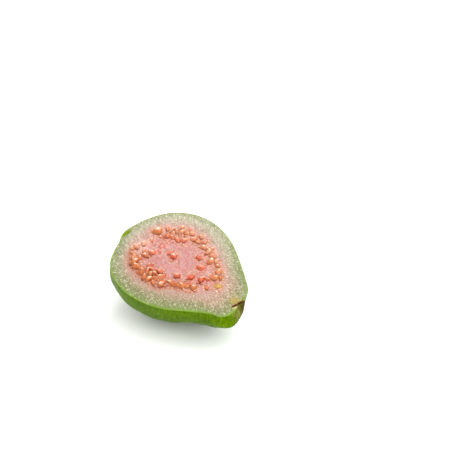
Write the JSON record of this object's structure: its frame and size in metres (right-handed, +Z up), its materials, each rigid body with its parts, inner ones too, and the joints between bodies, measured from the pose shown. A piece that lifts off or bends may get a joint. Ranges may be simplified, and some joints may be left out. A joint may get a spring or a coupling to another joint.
{
  "type": "guava half",
  "caption": "Guava cut lengthwise, green skin and pale flesh wall round a pink seedy core, lying skin down on a small flat spot with the cut face up.",
  "frame": {"origin": "on the surface that the half lies on, under the middle of its box", "axes": "+X along the fruit towards the stem end, +Y across it, +Z up; the cut face looks up and leans towards -Y"},
  "size_m": [0.0832, 0.0636, 0.0406],
  "materials": {
    "skin_and_flesh": "waxy green skin, moist pale green to cream flesh on the cut face",
    "seedy_pulp": "wet salmon pink pulp with glossy orange seeds"
  },
  "bodies": {
    "root": {"shell": "skin_and_flesh", "pulp": "seedy_pulp"}
  },
  "joints": []
}
